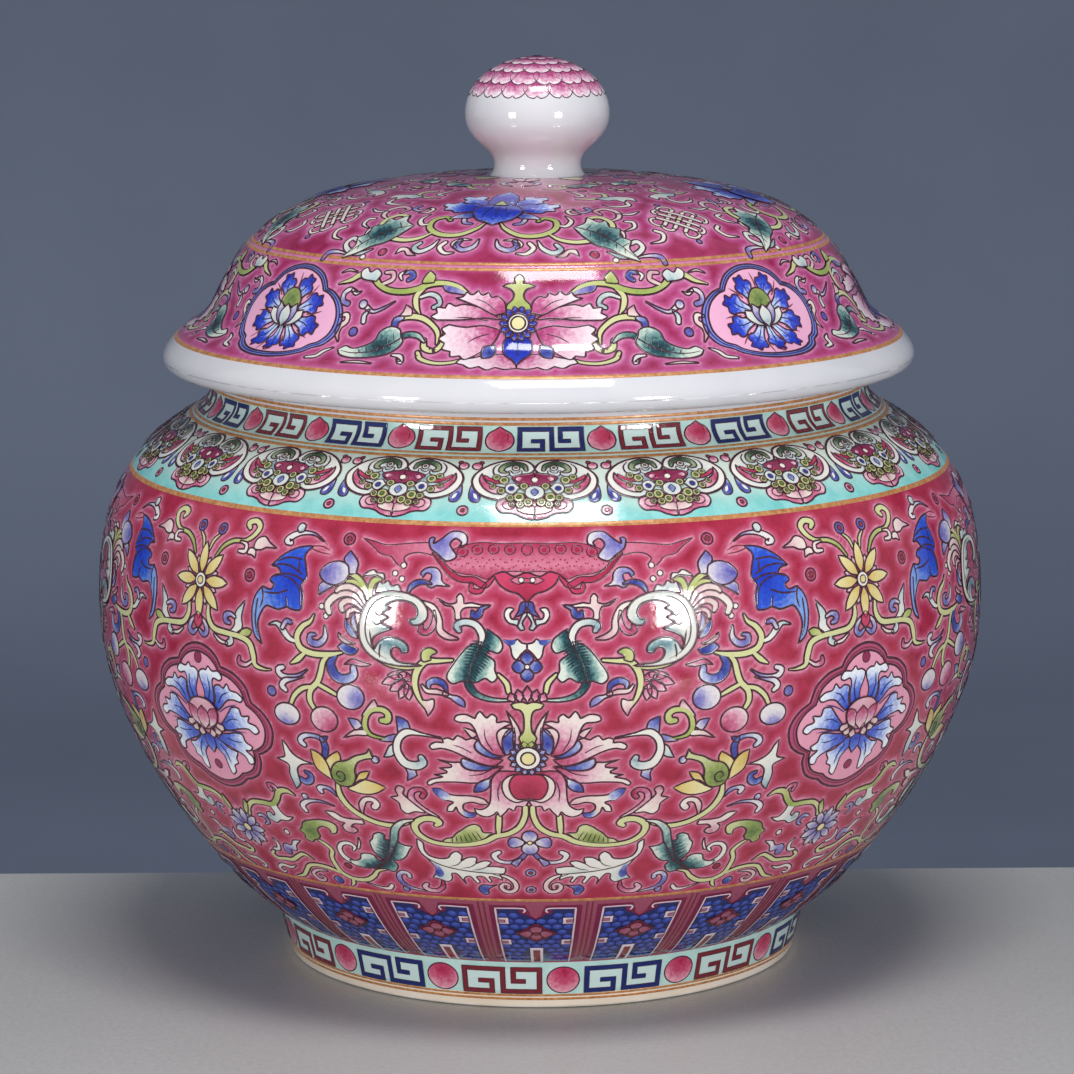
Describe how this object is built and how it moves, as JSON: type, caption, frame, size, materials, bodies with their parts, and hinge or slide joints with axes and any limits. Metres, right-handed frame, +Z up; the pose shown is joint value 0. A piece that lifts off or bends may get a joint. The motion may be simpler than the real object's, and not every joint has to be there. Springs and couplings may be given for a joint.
{
  "type": "ginger jar",
  "caption": "Covered porcelain jar with a swelling body on a ring foot, a short neck and a domed lift-off lid with a rolled brim and round knob.",
  "frame": {"origin": "on the jar's axis, in the plane that the foot ring stands on", "axes": "+Z up along the jar's axis; a painted lotus of the body faces -Y"},
  "size_m": [0.25, 0.25, 0.2539],
  "materials": {
    "white_glaze": "clear glossy glaze over white porcelain",
    "bare_porcelain": "unglazed fired porcelain, fine matt",
    "ruby_enamel": "glossy ruby overglaze enamel, slightly uneven",
    "turquoise_enamel": "glossy opaque turquoise overglaze enamel",
    "pink_enamel": "glossy opaque pink overglaze enamel",
    "pale_enamel": "glossy opaque white overglaze enamel",
    "green_enamel": "glossy green overglaze enamel",
    "cobalt_enamel": "glossy blue overglaze enamel",
    "yellow_enamel": "glossy opaque yellow overglaze enamel",
    "maroon_enamel": "glossy iron-red and brown overglaze enamel",
    "outline_enamel": "fine dark brown painted outline",
    "gilding": "soft dull gold line, slightly worn"
  },
  "bodies": {
    "jar": {"foot_ring": "turquoise_enamel", "lower_body": "ruby_enamel", "upper_body": "ruby_enamel", "neck": "turquoise_enamel"},
    "lid": {"lid_collar": "bare_porcelain", "lid_brim": "white_glaze", "lid_dome": "ruby_enamel", "lid_knob": "white_glaze"}
  },
  "joints": [
    {"name": "lid_lift", "type": "slide", "parent": "jar", "child": "lid", "axis": [0, 0, 1], "range_m": [0, 0.08]}
  ]
}
